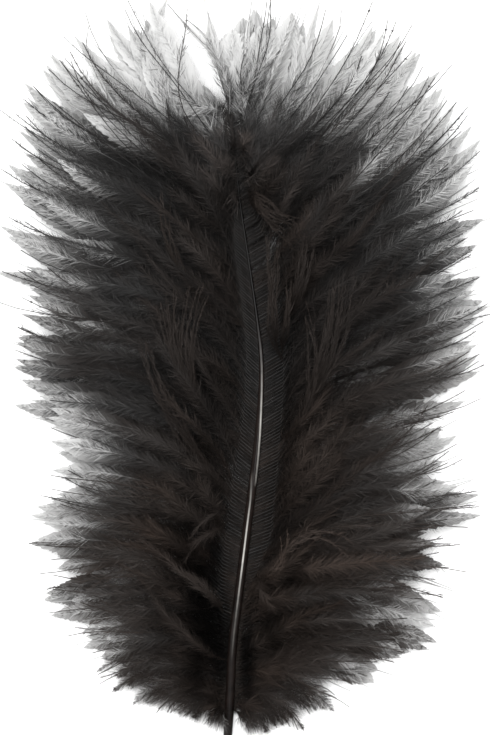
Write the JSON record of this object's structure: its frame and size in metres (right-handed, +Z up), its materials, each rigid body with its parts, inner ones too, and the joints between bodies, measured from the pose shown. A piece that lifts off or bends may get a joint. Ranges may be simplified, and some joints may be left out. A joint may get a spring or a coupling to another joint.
{
  "type": "down feather",
  "caption": "Dyed near-black down plume lying flat: a short quill, a curved grooved shaft and long soft down on both sides.",
  "frame": {"origin": "centre of the plume's outline, on the surface that it rests on", "axes": "+Y from the quill to the topmost down, +X to the right, +Z up, out of the shaft's grooved side"},
  "size_m": [0.0876, 0.1412, 0.014],
  "materials": {
    "shaft": "dyed dark brown keratin, glossy, with a pale line where the light catches the ridge of the groove",
    "down": "dyed down, near black with warm brown, soft and matt, thin and grey at the edge"
  },
  "bodies": {
    "root": {"shaft": "shaft", "down_left": "down", "down_right": "down"}
  },
  "joints": []
}
